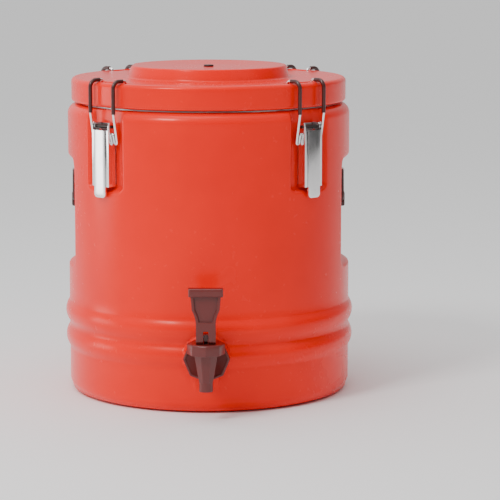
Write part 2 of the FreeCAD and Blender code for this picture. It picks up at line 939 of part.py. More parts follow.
def handle_wire_points():
    """Corners of the handle's wire, from one end in a knuckle to the other."""
    pivot_out, pivot_up = size("handle_pivot_out"), size("handle_pivot_up")
    leg, grip_out, grip_up = size("handle_leg_half"), size("grip_out"), size("grip_up")
    half = [
        Vector(pivot_out, size("handle_wire_end"), pivot_up),
        Vector(pivot_out, leg, pivot_up),
        Vector(grip_out, leg, grip_up),
    ]
    return half + [mirrored(p) for p in reversed(half)]


def handle_bail():
    """The side handle's bent wire."""
    return swept(handle_wire_points(), [size("handle_bend")] * 4, size("handle_wire"))


def handle_grip():
    """The moulded grip round the middle of the handle's wire."""
    body = padded(
        "Grip",
        "XZ_Plane",
        [
            ("grip_out - grip_half_thick", "grip_up - grip_half_tall + grip_round"),
            ("grip_out - grip_half_thick + grip_round", "grip_up - grip_half_tall", "grip_round", -1),
            ("grip_out + grip_half_thick - grip_round", "grip_up - grip_half_tall"),
            ("grip_out + grip_half_thick", "grip_up - grip_half_tall + grip_round", "grip_round", -1),
            ("grip_out + grip_half_thick", "grip_up + grip_half_tall - grip_round"),
            ("grip_out + grip_half_thick - grip_round", "grip_up + grip_half_tall", "grip_round", -1),
            ("grip_out - grip_half_thick + grip_round", "grip_up + grip_half_tall"),
            ("grip_out - grip_half_thick", "grip_up + grip_half_tall - grip_round", "grip_round", -1),
        ],
        "2 * grip_half_long",
    )
    bore = rod("handle_wire + snug", "3 * grip_half_long", "y", "grip_out", "-1.5 * grip_half_long", "grip_up")
    return cut(body, bore)


def octagon(radius, up):
    """A level octagon round the spout, with a flat to the front."""
    item = doc.addObject("Part::RegularPolygon", "Octagon")
    item.Polygon = 8
    bind(item, Circumradius=f"{radius} / cos(22.5 deg)")
    return place(item, 0, "-tap_axis", up, Z_AXIS, 22.5)


def tap_body():
    """The tap's casting: faceted spout, barrel, and the threaded shank through the wall."""
    taper = doc.addObject("Part::Loft", "Spout")
    taper.Sections = [octagon("spout_top_half", "spout_top"), octagon("spout_tip_radius", "spout_neck_up")]
    taper.Solid = True
    taper.Ruled = True
    tip = rod("spout_tip_radius", "spout_neck_up - spout_tip_up + 3", "z", 0, "-tap_axis", "spout_tip_up")
    barrel = across_tap("barrel_radius", "boss_face + seal_thick + flange_thick", "tap_axis")
    shank = across_tap("shank_radius", "shank_end", "tap_axis - barrel_radius")
    outlet = rod("outlet_bore", "valve_seat - spout_tip_up + 2", "z", 0, "-tap_axis", "spout_tip_up - 1")
    valve = rod("valve_bore", "spout_top - valve_seat + 1", "z", 0, "-tap_axis", "valve_seat")
    inlet = across_tap("inlet_bore", "shank_end - 1", "tap_axis")
    return cut(fuse(taper, tip, barrel, shank), outlet, valve, inlet)


def tap_ring(radius, near, thick):
    """A washer on the shank."""
    return cut(
        across_tap(radius, near, f"{near} + {thick}"),
        across_tap("shank_radius + snug", f"{near} - 1", f"{near} + {thick} + 1"),
    )


def prism_on_shank(sides, radius, near, thick):
    """A many-sided plate on the shank."""
    item = doc.addObject("Part::Prism", "Prism")
    item.Polygon = sides
    bind(item, Circumradius=radius, Height=thick)
    place(item, 0, f"-({near})", "tap_up", Vector(1, 0, 0), 90)
    return cut(item, across_tap("shank_radius + snug", f"{near} - 1", f"{near} + {thick} + 1"))


def tap_flange():
    """The octagonal plate that clamps the outer seal, with a raised rim."""
    near = "boss_face + seal_thick"
    plate = prism_on_shank(8, "flange_radius", near, "flange_thick")
    face = f"{near} + flange_thick - flange_rim_rise"
    return cut(plate, prism_on_shank(8, "flange_radius - flange_rim", face, "2 * flange_rim_rise"))


def tap_bonnet():
    """The octagonal cap that closes the valve and guides its stem."""
    cap = doc.addObject("Part::Prism", "Cap")
    cap.Polygon = 8
    bind(cap, Circumradius="bonnet_radius", Height="bonnet_top - bonnet_low")
    place(cap, 0, "-tap_axis", "bonnet_low")
    doc.recompute()
    eased = doc.addObject("Part::Chamfer", "Eased")
    eased.Base = cap
    top, width = size("bonnet_top"), size("bonnet_chamfer")
    eased.Edges = [(n, width, width) for n, e in enumerate(cap.Shape.Edges, 1) if e.CenterOfMass.z > top - 0.01]
    spigot = rod("valve_bore - 0.1", "bonnet_spigot + 1", "z", 0, "-tap_axis", "bonnet_low - bonnet_spigot")
    bore = rod("stem_radius + fit", "bonnet_top - bonnet_low + 20", "z", 0, "-tap_axis", "bonnet_low - 10")
    return cut(fuse(eased, spigot), bore)


def tap_stem():
    """The valve's rod, with a slotted eye that the lever's pin lifts."""
    shaft = rod("stem_radius", "eye_low - stem_low + 1", "z", 0, "-tap_axis", "stem_low")
    eye = box(("-stem_radius", "stem_radius"), ("-eye_front", "-eye_back"), ("eye_low", "eye_high"))
    slot = box(
        ("-2 * stem_radius", "2 * stem_radius"),
        ("-eye_slot_front", "-eye_slot_back"),
        ("tap_pin_up - eye_slot_half", "tap_pin_up + eye_slot_half"),
    )
    return cut(fuse(shaft, eye), slot)


def tap_seat_cup():
    """The soft cup that closes the outlet."""
    cup = rod("cup_radius", "stem_low - valve_seat - cup_gap", "z", 0, "-tap_axis", "valve_seat + cup_gap")
    top = size("stem_low")
    return rounded(cup, "cup_round", lambda e: e.CenterOfMass.z > top - 0.01)


def tap_spring():
    """The coil that presses the cup down."""
    coil = doc.addObject("Part::Helix", "Coil")
    bind(
        coil,
        Radius="spring_radius",
        Pitch="(spring_high - spring_low) / spring_turns",
        Height="spring_high - spring_low",
    )
    doc.recompute()
    start = coil.Shape.Vertexes[0].Point
    ring = Part.Wire(Part.makeCircle(size("spring_wire"), start, Vector(0, 1, 0)))
    bar = Part.Wire(coil.Shape.Edges).makePipeShell([ring], True, True)
    bar.translate(Vector(0, -size("tap_axis"), size("spring_low")))
    return bar


def tap_lever():
    """The paddle: a nosed foot on the bonnet, a slotted neck and a wide head with a thick lip."""
    front = "-(nose_out + nose_radius)"
    foot = padded(
        "Foot",
        "YZ_Plane",
        [
            (front, "lever_neck_high + 8"),
            (front, "nose_up"),
            ("-nose_out", "nose_up - nose_radius", "nose_radius", -1),
            ("-lever_back", "nose_up - nose_radius"),
            ("-lever_back", "lever_neck_high - 9"),
            (f"{front} + paddle_thick", "lever_neck_high + 8"),
        ],
        "2 * lever_neck_half",
    )
    depth = (front, f"{front} + paddle_thick")
    head = head_slab(depth, "0", "lever_neck_high - 4", "lip_low + 1")
    lip = box(("-lip_half", "lip_half"), ("-lip_front", f"{depth[1]} + 1"), ("lip_low", "lip_high"))
    doc.recompute()
    soft_lip = rounded(lip, "lip_round", lambda e: not runs_along(e, Vector(0, 1, 0)))
    panel = head_slab((f"{front} - 1", f"{front} + panel_depth"), "panel_border", "panel_low", "lip_low")
    slot = box(("-slot_half", "slot_half"), (f"{front} - 1", "-lever_back + 1"), ("0", "slot_high"))
    pin = rod(
        "tap_pin_radius + snug",
        "4 * lever_neck_half",
        "x",
        "-2 * lever_neck_half",
        "-tap_pin_out",
        "tap_pin_up",
    )
    return cut(fuse(foot, head, soft_lip), panel, slot, pin)


def head_slab(depth, border, low, high):
    """A slab in the flared outline of the paddle's head, between two depths."""
    wide = f"(paddle_half - {border})"
    waist = f"(paddle_shoulder - {border})"
    neck = f"(lever_neck_half - {border})"
    body = padded(
        "Head",
        "XZ_Plane",
        [
            (f"-{neck}", low, "paddle_bend", 1),
            (neck, low),
            (waist, "paddle_shoulder_up", "paddle_bend", 1),
            (wide, high),
            (f"-{wide}", high),
            (f"-{waist}", "paddle_shoulder_up"),
        ],
        f"({depth[1]}) - ({depth[0]})",
    )
    return place(body, 0, f"(({depth[0]}) + ({depth[1]})) / 2", 0)


def build_drum():
    """The drum, its tank and the foam between them."""
    node(outer_shell(), "outer_shell")
    node(foam_insulation(), "foam_insulation")
    node(inner_liner(), "inner_liner")


def build_lid():
    """The lid and its vent."""
    node(lid_shell(), "lid_shell")
    node(lid_pan(), "lid_pan")
    node(lid_foam(), "lid_foam")
    node(lid_gasket(), "lid_gasket")
    node(vent_tube(), "vent_tube")
    node(vent_plug(), "vent_plug")


def build_latches():
    """Four over-centre latches round the rim."""
    for corner, turn in CORNERS.items():
        node(latch_base(), f"latch_base_{corner}", turn)
        rivets = group(*[rivet("latch_floor + latch_sheet", 0, up) for up in RIVET_HEIGHTS])
        node(rivets, f"latch_rivets_{corner}", turn)
        node(swung(latch_pin(), turn), f"latch_pin_{corner}")
        node(latch_lever(), f"latch_lever_{corner}", turn)
        shaped(latch_bail(), f"latch_bail_{corner}", turn)
        shaped(latch_sleeves(), f"latch_sleeves_{corner}", turn)


def build_handles():
    """A hanging handle on each side."""
    for side, turn in SIDES.items():
        node(handle_plate(), f"handle_plate_{side}", turn)
        rivets = group(*[rivet("handle_floor + handle_plate_thick", y, up) for y, up in HANDLE_RIVETS])
        node(rivets, f"handle_rivets_{side}", turn)
        shaped(handle_bail(), f"handle_bail_{side}", turn)
        node(handle_grip(), f"handle_grip_{side}", turn)


def build_tap():
    """The tap on the front of the drum."""
    node(tap_body(), "tap_body")
    node(tap_ring("seal_radius", "boss_face", "seal_thick"), "tap_outer_seal")
    node(tap_flange(), "tap_flange")
    inner = "nut_seat - inner_seal_thick"
    node(tap_ring("inner_seal_radius", inner, "inner_seal_thick"), "tap_inner_seal")
    node(prism_on_shank(6, "nut_radius", f"{inner} - nut_thick", "nut_thick"), "tap_nut")
    node(tap_bonnet(), "tap_bonnet")
    node(tap_stem(), "tap_stem")
    node(tap_seat_cup(), "tap_seat_cup")
    shaped(tap_spring(), "tap_spring")
    node(tap_lever(), "tap_lever")
    pin = rod("tap_pin_radius", "2 * lever_neck_half", "x", "-lever_neck_half", "-tap_pin_out", "tap_pin_up")
    node(pin, "tap_lever_pin")


def check_and_write():
    """Stops on any failed object, then writes each piece to a file of its own."""
    doc.recompute()
    failed = [item.Name for item in doc.Objects if {"Invalid", "Error"} & set(item.State)]
    if failed:
        raise RuntimeError(f"failed objects: {failed}")
    os.makedirs("parts", exist_ok=True)
    for item in nodes:
        shape = item.Shape
        if shape.isNull() or not shape.isValid() or not shape.Solids:
            raise RuntimeError(f"bad shape: {item.Label}")
        shape.exportStep(f"parts/{item.Label}.step")
        print(f"{item.Label}: {len(shape.Solids)} solids, {shape.Volume / 1000:.2f} cm3")
    print(len(nodes), "pieces")


fill_sheet()
build_drum()
build_lid()
build_latches()
build_handles()
build_tap()
check_and_write()
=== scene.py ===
"""Looks for an insulated beverage dispenser: a moulded drum, its lid, latches, handles and tap.

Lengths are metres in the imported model's frame: +Z up, the tap towards -Y, the origin under the drum's axis.
"""

import logging
import math
from collections.abc import Callable, Mapping, Sequence
from dataclasses import dataclass, field
from enum import Enum
from typing import Any

import bmesh
import bpy
import numpy as np
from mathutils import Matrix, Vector


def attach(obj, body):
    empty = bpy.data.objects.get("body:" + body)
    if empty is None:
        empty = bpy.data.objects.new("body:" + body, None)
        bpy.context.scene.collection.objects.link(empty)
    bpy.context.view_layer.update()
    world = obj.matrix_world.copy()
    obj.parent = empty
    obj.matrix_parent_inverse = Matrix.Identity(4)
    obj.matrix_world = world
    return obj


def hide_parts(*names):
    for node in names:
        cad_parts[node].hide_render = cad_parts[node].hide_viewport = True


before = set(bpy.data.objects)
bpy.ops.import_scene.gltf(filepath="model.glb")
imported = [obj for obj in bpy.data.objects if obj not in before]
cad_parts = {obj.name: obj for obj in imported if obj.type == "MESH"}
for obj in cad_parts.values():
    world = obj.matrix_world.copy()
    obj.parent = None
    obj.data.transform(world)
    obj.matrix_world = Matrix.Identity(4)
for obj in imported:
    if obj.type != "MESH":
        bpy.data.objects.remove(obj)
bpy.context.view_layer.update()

log = logging.getLogger("dispenser")
Colour = tuple[float, float, float]
MM = 0.001

# The compass angle of the tap, in degrees.
TAP_ANGLE = 270
# Vertices closer than this are one, in metres.
WELD = 1e-6
# Edges of the moulded skins sharper than this stay sharp, in degrees.
SKIN_SHARP = 60


class Body(Enum):
    """The bodies that single pieces ride on."""

    DRUM = "drum"
    LID = "lid"
    TAP_HANDLE = "tap_handle"


class Corner(Enum):
    """The four latches, by the compass angle of each in degrees."""

    FRONT_LEFT = 225
    FRONT_RIGHT = 315
    REAR_RIGHT = 45
    REAR_LEFT = 135

    @property
    def label(self) -> str:
        """The latch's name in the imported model."""
        return self.name.lower()


class Side(Enum):
    """The two side handles, by the compass angle of each in degrees."""

    RIGHT = 0
    LEFT = 180

    @property
    def label(self) -> str:
        """The handle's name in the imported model."""
        return self.name.lower()


class Value:
    """One output of a shader node, whose sums and products add Math nodes."""

    def __init__(self, graph: "Graph", socket: bpy.types.NodeSocket) -> None:
        """Wraps a socket.

        Args:
            graph: the node tree that the socket is in.
            socket: the output to work with.
        """
        self.graph = graph
        self.socket = socket

    def _math(self, operation: str, first: "Value | float", second: "Value | float") -> "Value":
        """A Math node on two values.

        Args:
            operation: the Math node's operation.
            first: its first input.
            second: its second input.

        Returns:
            The node's result.
        """
        return self.graph.add("ShaderNodeMath", {"operation": operation}, {0: first, 1: second})

    def __add__(self, other: "Value | float") -> "Value":
        """self + other."""
        return self._math("ADD", self, other)

    __radd__ = __add__

    def __mul__(self, other: "Value | float") -> "Value":
        """self * other."""
        return self._math("MULTIPLY", self, other)

    __rmul__ = __mul__


class Graph:
    """A tree of shader nodes."""

    def __init__(self, tree: bpy.types.NodeTree) -> None:
        """Takes the tree that nodes are added to."""
        self.tree = tree

    def add(self, kind: str, settings: Mapping[str, Any], inputs: Mapping[Any, Any], output: Any = 0) -> Value:
        """Adds one node.

        Args:
            kind: the node's type.
            settings: its own properties, set before its sockets.
            inputs: a number, colour, vector or Value for each input socket.
            output: which output to return.

        Returns:
            That output.
        """
        node = self.tree.nodes.new(kind)
        for key, value in settings.items():
            setattr(node, key, value)
        for key, value in inputs.items():
            self.feed(node.inputs[key], value)
        return Value(self, node.outputs[output])

    def feed(self, socket: bpy.types.NodeSocket, value: Any) -> None:
        """Sets or links one input.

        Args:
            socket: the input.
            value: a Value to link, or a constant to set.
        """
        if isinstance(value, Value):
            self.tree.links.new(value.socket, socket)
        else:
            socket.default_value = value

    def place(self) -> Value:
        """The position on the piece, in metres."""
        return self.add("ShaderNodeTexCoord", {}, {}, "Object")

    def noise(self, per_metre: float, detail: float = 2.0, stretch: Colour = (1.0, 1.0, 1.0)) -> Value:
        """Soft noise fixed to the piece.

        Args:
            per_metre: its scale.
            detail: how many octaves it has.
            stretch: a factor on each axis.

        Returns:
            A value from 0 to 1.
        """
        scaled = self.add("ShaderNodeVectorMath", {"operation": "MULTIPLY"}, {0: self.place(), 1: stretch})
        inputs = {"Vector": scaled, "Scale": per_metre, "Detail": detail}
        return self.add("ShaderNodeTexNoise", {}, inputs, "Fac")

    def spread(self, value: Value, low: float, high: float) -> Value:
        """Stretches a value so that low becomes 0 and high becomes 1, clamped."""
        inputs = {"Value": value, "From Min": low, "From Max": high}
        return self.add("ShaderNodeMapRange", {"clamp": True}, inputs, "Result")

    def mix(self, share: Value, first: Any, second: Any) -> Value:
        """A colour between two others.

        Args:
            share: how much of the second to take.
            first: the colour at 0.
            second: the colour at 1.

        Returns:
            The mixed colour.
        """
        settings = {"data_type": "RGBA", "clamp_factor": True}
        return self.add("ShaderNodeMix", settings, {0: share, 6: first, 7: second}, 2)

    def crevice(self, reach: float) -> Value:
        """How hidden a point is in a groove or an inner corner, from 0 to 1.

        Args:
            reach: how far walls are looked for, in metres.

        Returns:
            0 in the open and 1 deep in a crevice.
        """
        # The finishes use this mask to paint shade into grooves and inner corners.
        in_the_open, deep = 0.95, 0.35
        settings = {"samples": 6, "only_local": True}
        open_share = self.add("ShaderNodeAmbientOcclusion", settings, {"Distance": reach}, "AO")
        return self.spread(open_share, in_the_open, deep)

    def bump(self, height: Value, depth: float) -> Value:
        """A normal from a height.

        Args:
            height: the height, from 0 to 1.
            depth: what 1 stands for, in metres.

        Returns:
            The normal.
        """
        inputs = {"Strength": 1.0, "Distance": depth, "Height": height}
        return self.add("ShaderNodeBump", {}, inputs, "Normal")


class MaterialGraph(Graph):
    """The node tree of one material, built from its Principled shader outwards."""

    def __init__(self, name: str) -> None:
        """Makes an empty material.

        Args:
            name: the material's name.
        """
        self.material = bpy.data.materials.new(name)
        self.material.use_nodes = True
        super().__init__(self.material.node_tree)
        self.shader = self.tree.nodes["Principled BSDF"]

    def finish(self, **inputs: Any) -> bpy.types.Material:
        """Sets the shader's own inputs.

        Args:
            inputs: what goes to each socket, with _ for a space in its name.

        Returns:
            The material.
        """
        for key, value in inputs.items():
            self.feed(self.shader.inputs[key.replace("_", " ")], value)
        return self.material


def rgba(colour: Colour, factor: float = 1.0) -> tuple[float, float, float, float]:
    """A colour with full alpha, scaled by a factor."""
    return (colour[0] * factor, colour[1] * factor, colour[2] * factor, 1.0)


@dataclass(frozen=True)
class MouldedPlastic:
    """Polyethylene or acetal out of a mould: soft gloss, faint clouding, fine grain, light scuffs and painted shade
    in its grooves.

    Scales are per metre, depths and reaches are metres, and the other numbers are shares.
    """

    name: str
    colour: Colour
    roughness: float = 0.33
    grain: float = 1100.0
    grain_depth: float = 0.000012
    ripple_depth: float = 0.00012
    clouding: float = 0.06
    scuff: float = 0.25
    coat: float = 0.25
    # The painted shade in grooves: its strength, its darkness and how far walls are looked for.
    shading: float = 0.6
    shade: float = 0.35
    shade_reach: float = 0.006
    sheen: Colour = (1.0, 1.0, 1.0)
    specular: float = 0.4
    coat_roughness: float = 0.12
    cloud_scale: float = 9.0
    cloud_range: tuple[float, float] = (0.3, 0.7)
    cloud_roughening: float = 0.05
    ripple_scale: float = 38.0
    rub_scale: float = 140.0
    rub_range: tuple[float, float] = (0.6, 0.78)
    rub_paling: float = 0.12
    rub_roughening: float = 0.15
    pale_share: float = 0.75
    pale_lift: float = 0.12

    def make(self) -> bpy.types.Material:
        """Builds the material."""
        graph = MaterialGraph(self.name)
        cloud = graph.noise(self.cloud_scale, detail=3.0)
        fine = graph.noise(self.grain, detail=2.0)
        ripple = graph.noise(self.ripple_scale, detail=1.0)
        rub = graph.spread(graph.noise(self.rub_scale, detail=4.0), *self.rub_range)
        tinted = graph.mix(
            graph.spread(cloud, *self.cloud_range),
            rgba(self.colour, 1.0 - self.clouding),
            rgba(self.colour, 1.0 + self.clouding),
        )
        pale = tuple(self.pale_share * c + self.pale_lift for c in self.colour)
        scuffed = graph.mix(rub * (self.rub_paling * self.scuff), tinted, rgba(pale))
        shade = rgba(self.colour, self.shade)
        # Painted shade: grooves and inner corners take a darker copy of the colour, by an ambient-occlusion mask.
        colour = graph.mix(graph.crevice(self.shade_reach) * self.shading, scuffed, shade)
        height = fine * (self.grain_depth / self.ripple_depth) + ripple
        return graph.finish(
            Base_Color=colour,
            Roughness=self.roughness + self.cloud_roughening * cloud + rub * (self.rub_roughening * self.scuff),
            Coat_Weight=self.coat,
            Coat_Roughness=self.coat_roughness,
            Specular_IOR_Level=self.specular,
            Specular_Tint=rgba(self.sheen),
            Normal=graph.bump(height, self.ripple_depth),
        )


@dataclass(frozen=True)
class Steel:
    """Stainless sheet or wire, brushed one way, with faint handling marks and painted shade in its crevices.

    Scales are per metre, depths and reaches are metres, and the other numbers are shares.
    """

    name: str
    colour: Colour = (0.78, 0.77, 0.77)
    roughness: float = 0.16
    brushing: Colour = (900.0, 900.0, 30.0)
    brush_depth: float = 0.000004
    smears: float = 0.12
    # Painted shade in crevices: its strength, how far walls are looked for, and its colour.
    crevice_shade: float = 0.95
    crevice_shade_reach: float = 0.0022
    crevice_shade_colour: Colour = (0.07, 0.03, 0.03)
    smear_scale: float = 55.0
    smear_range: tuple[float, float] = (0.35, 0.75)
    smear_shade: float = 0.9
    streak_roughening: float = 0.08

    def make(self) -> bpy.types.Material:
        """Builds the material."""
        graph = MaterialGraph(self.name)
        streak = graph.noise(1.0, detail=3.0, stretch=self.brushing)
        smear = graph.spread(graph.noise(self.smear_scale, detail=3.0), *self.smear_range)
        clean = graph.mix(smear, rgba(self.colour), rgba(self.colour, self.smear_shade))
        # Painted shade: grooves and inner corners darken towards a near-black brown, by an ambient-occlusion mask.
        colour = graph.mix(graph.crevice(self.crevice_shade_reach) * self.crevice_shade, clean, rgba(self.crevice_shade_colour))
        return graph.finish(
            Base_Color=colour,
            Metallic=1.0,
            Roughness=self.roughness + self.streak_roughening * streak + self.smears * smear,
            Normal=graph.bump(streak, self.brush_depth),
        )


@dataclass(frozen=True)
class Rubber:
    """Soft seal rubber: matt, faintly dusty."""

    name: str
    colour: Colour
    roughness: float = 0.7
    grain: float = 2200.0
    grain_depth: float = 0.00002
    dust_scale: float = 120.0
    dust_range: tuple[float, float] = (0.35, 0.8)
    dust_share: float = 0.5
    dust_paling: float = 1.3
    dust_roughening: float = 0.15

    def make(self) -> bpy.types.Material:
        """Builds the material."""
        graph = MaterialGraph(self.name)
        dust = graph.spread(graph.noise(self.dust_scale, detail=4.0), *self.dust_range)
        colour = graph.mix(dust * self.dust_share, rgba(self.colour), rgba(self.colour, self.dust_paling))
        return graph.finish(
            Base_Color=colour,
            Roughness=self.roughness + self.dust_roughening * dust,
            Normal=graph.bump(graph.noise(self.grain), self.grain_depth),
        )


@dataclass(frozen=True)
class Foam:
    """Rigid cream foam with open cut cells, whose pits get painted shade."""

    name: str
    colour: Colour = (0.8, 0.68, 0.42)
    roughness: float = 0.9
    cell_scale: float = 700.0
    cell_depth: float = 0.0003
    cell_shade: float = 0.7

    def make(self) -> bpy.types.Material:
        """Builds the material."""
        graph = MaterialGraph(self.name)
        inputs = {"Vector": graph.place(), "Scale": self.cell_scale}
        cells = graph.add("ShaderNodeTexVoronoi", {"feature": "F1"}, inputs, "Distance")
        # Painted shade: each cell is darker towards its middle, where the bump sinks it.
        colour = graph.mix(cells, rgba(self.colour, self.cell_shade), rgba(self.colour))
        return graph.finish(
            Base_Color=colour, Roughness=self.roughness, Normal=graph.bump(cells, self.cell_depth)
        )


class Finish(Enum):
    """Every finish on the dispenser."""

    SHELL = MouldedPlastic(
        "red_polyethylene",
        (0.95, 0.007, 0.0008),
        roughness=0.24,
        coat=0.08,
        scuff=0.12,
        shade_reach=0.012,
        sheen=(1.0, 0.45, 0.35),
    )
    TAP = MouldedPlastic("maroon_acetal", (0.13, 0.014, 0.012), roughness=0.3, ripple_depth=0.00004, scuff=0.4)
    GRIP = MouldedPlastic("brown_vinyl", (0.055, 0.008, 0.006), roughness=0.3, ripple_depth=0.00003, coat=0.4)
    VENT = MouldedPlastic("dark_vent_plastic", (0.03, 0.012, 0.01), roughness=0.5, ripple_depth=0.00003)
    BRIGHT = Steel("bright_steel", (0.9, 0.88, 0.88), roughness=0.1, smears=0.06)
    SATIN = Steel("satin_steel", roughness=0.26, smears=0.08)
    PIN = Steel("dark_pin_steel", (0.09, 0.075, 0.07), roughness=0.35)
    TANK = Steel("tank_steel", roughness=0.24, brushing=(20.0, 20.0, 1500.0))
    SEAL = Rubber("seal_rubber", (0.42, 0.4, 0.36))
    FOAM = Foam("rigid_foam")


class Workshop:
    """Makes pieces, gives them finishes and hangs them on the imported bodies."""

    def __init__(self) -> None:
        """Makes each finish once."""
        self.materials = {finish: finish.value.make() for finish in Finish}
        self.slots = {
            Finish.SHELL: "shell_plastic",
            Finish.TAP: "tap_plastic",
            Finish.GRIP: "grip_plastic",
            Finish.VENT: "vent_plastic",
            Finish.BRIGHT: "bright_steel",
            Finish.SATIN: "satin_steel",
            Finish.TANK: "satin_steel",
            Finish.PIN: "satin_steel",
            Finish.SEAL: "seal_rubber",
            Finish.FOAM: "foam",
        }

    def dress_nodes(self, finish: Finish, *nodes: str) -> None:
        """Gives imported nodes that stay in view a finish.

        Args:
            finish: the finish.
            nodes: the nodes' names.
        """
        for name in nodes:
            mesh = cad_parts[name].data
            mesh.materials.clear()
            mesh.materials.append(self.materials[finish])
            log.info("%s: %s", name, finish.value.name)

    def keep(
        self, name: str, verts: np.ndarray, faces: Sequence[Sequence[int]], finish: Finish, body: str, *nodes: str
    ) -> bpy.types.Object:
        """Makes one piece from vertices and faces.

        Args:
            name: the piece's name.
            verts: its vertices.
            faces: its faces, as vertex numbers.
            finish: its finish.
            body: the body it rides on.
            nodes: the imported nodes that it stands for.

        Returns:
            The piece.
        """
        mesh = bpy.data.meshes.new(name)
        mesh.from_pydata([tuple(v) for v in verts], [], [tuple(f) for f in faces])
        work = bmesh.new()
        work.from_mesh(mesh)
        bmesh.ops.remove_doubles(work, verts=work.verts, dist=WELD)
        bmesh.ops.recalc_face_normals(work, faces=work.faces)
        work.to_mesh(mesh)
        work.free()
        return self.adopt(bpy.data.objects.new(name, mesh), finish, body, *nodes)

    def adopt(self, piece: bpy.types.Object, finish: Finish, body: str, *nodes: str) -> bpy.types.Object:
        """Smooths, dresses and hangs a finished piece.

        Args:
            piece: the piece.
            finish: its finish.
            body: the body it rides on.
            nodes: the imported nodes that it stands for.

        Returns:
            The same piece.
        """
        if piece.name not in bpy.context.scene.collection.objects:
            bpy.context.scene.collection.objects.link(piece)
        piece.data.materials.clear()
        piece.data.materials.append(self.materials[finish])
        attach(piece, body)
        if nodes:
            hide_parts(*nodes)
        log.info("%s rides on %s", piece.name, body)
        return piece

    def eased(self, node: str, width: float, finish: Finish, body: str, segments: int = 3) -> bpy.types.Object:
        """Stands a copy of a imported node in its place, with its sharp edges rounded.

        Args:
            node: the node.
            width: how wide the rounding is, in metres.
            finish: the copy's finish.
            body: the body it rides on.
            segments: how many strips each rounding has.

        Returns:
            The copy.
        """
        flat_below, sharp_above, shaded_below, most_corners = 0.6, 32, 28, 4
        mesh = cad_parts[node].data.copy()
        mesh.name = f"{node}_eased"
        if mesh.attributes.get("custom_normal"):
            mesh.attributes.remove(mesh.attributes["custom_normal"])
        work = bmesh.new()
        work.from_mesh(mesh)
        bmesh.ops.remove_doubles(work, verts=work.verts, dist=2 * WELD)
        bmesh.ops.dissolve_limit(
            work,
            angle_limit=math.radians(flat_below),
            verts=work.verts,
            edges=work.edges,
            use_dissolve_boundaries=False,
        )
        for face in work.faces:
            face.smooth = True
        work.to_mesh(mesh)
        work.free()
        piece = bpy.data.objects.new(f"{node}_eased", mesh)
        bpy.context.scene.collection.objects.link(piece)
        bevel = piece.modifiers.new("edges", "BEVEL")
        bevel.width = width
        bevel.segments = segments
        bevel.limit_method = "ANGLE"
        bevel.angle_limit = math.radians(sharp_above)
        bevel.use_clamp_overlap = True
        self.bake(piece)
        work = bmesh.new()
        work.from_mesh(piece.data)
        many_sided = [face for face in work.faces if len(face.verts) > most_corners]
        bmesh.ops.triangulate(work, faces=many_sided, ngon_method="EAR_CLIP")
        work.to_mesh(piece.data)
        work.free()
        shade_smooth(piece, shaded_below)
        return self.adopt(piece, finish, body, node)

    def softened(self, node: str, cell: float, finish: Finish, body: str, keep: float = 0.35) -> bpy.types.Object:
        """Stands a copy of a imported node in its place, with every edge softened as a mould leaves it.

        Args:
            node: the node.
            cell: how fine the copy is, in metres; edges end up about that round.
            finish: the copy's finish.
            body: the body it rides on.
            keep: the share of faces kept at the end.

        Returns:
            The copy.
        """
        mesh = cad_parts[node].data.copy()
        mesh.name = f"{node}_soft"
        piece = bpy.data.objects.new(f"{node}_soft", mesh)
        bpy.context.scene.collection.objects.link(piece)
        remesh = piece.modifiers.new("cells", "REMESH")
        remesh.mode = "VOXEL"
        remesh.voxel_size = cell
        smooth = piece.modifiers.new("smooth", "SMOOTH")
        smooth.factor = 0.5
        smooth.iterations = 4
        thin = piece.modifiers.new("thin", "DECIMATE")
        thin.ratio = keep
        self.bake(piece)
        if piece.data.attributes.get("custom_normal"):
            piece.data.attributes.remove(piece.data.attributes["custom_normal"])
        piece.data.shade_smooth()
        return self.adopt(piece, finish, body, node)

    def bake(self, piece: bpy.types.Object) -> None:
        """Applies a piece's modifiers to its mesh.

        Args:
            piece: the piece.
        """
        graph = bpy.context.evaluated_depsgraph_get()
        made = bpy.data.meshes.new_from_object(piece.evaluated_get(graph))
        piece.modifiers.clear()
        piece.data = made


def arc_corner(before: Vector, corner: Vector, after: Vector, radius: float, steps: int) -> list[Vector]:
    """Rounds one corner of an outline.

    Args:
        before: the point before it.
        corner: the corner.
        after: the point after it.
        radius: the rounding's radius.
        steps: how many points it gets.

    Returns:
        The points of the arc.
    """
    arriving = (corner - before).normalized()
    leaving = (after - corner).normalized()
    half = arriving.angle(leaving) / 2
    if radius <= 0 or half < 1e-3:
        return [corner]
    start = corner - arriving * radius * math.tan(half)
    inward = (leaving - arriving).normalized()
    centre = corner + inward * (radius / math.cos(half))
    spoke = start - centre
    side = 1 if arriving.cross(leaving) > 0 else -1
    turned = []
    for n in range(steps + 1):
        angle = side * 2 * half * n / steps
        c, s = math.cos(angle), math.sin(angle)
        turned.append(centre + Vector((spoke.x * c - spoke.y * s, spoke.x * s + spoke.y * c)))
    return turned


def rounded_outline(corners: Sequence[tuple[float, float, float]], steps: int = 6) -> np.ndarray:
    """An open outline with rounded corners.

    Args:
        corners: radius, height and rounding of each corner.
        steps: how many points a rounding gets.

    Returns:
        The outline's (radius, height) points.
    """
    flat = [Vector((r, z)) for r, z, _ in corners]
    points = [flat[0]]
    for n in range(1, len(corners) - 1):
        points += arc_corner(flat[n - 1], flat[n], flat[n + 1], corners[n][2], steps)
    points.append(flat[-1])
    return np.array([tuple(p) for p in points])


def subdivided(outline: np.ndarray, spacing: float) -> np.ndarray:
    """The outline with no two points further apart than a spacing.

    Args:
        outline: (radius, height) points.
        spacing: the largest distance.

    Returns:
        The finer outline.
    """
    out = [outline[0]]
    for a, b in zip(outline, outline[1:]):
        parts = max(1, math.ceil(float(np.linalg.norm(b - a)) / spacing))
        out += [a + (b - a) * n / parts for n in range(1, parts + 1)]
    return np.array(out)


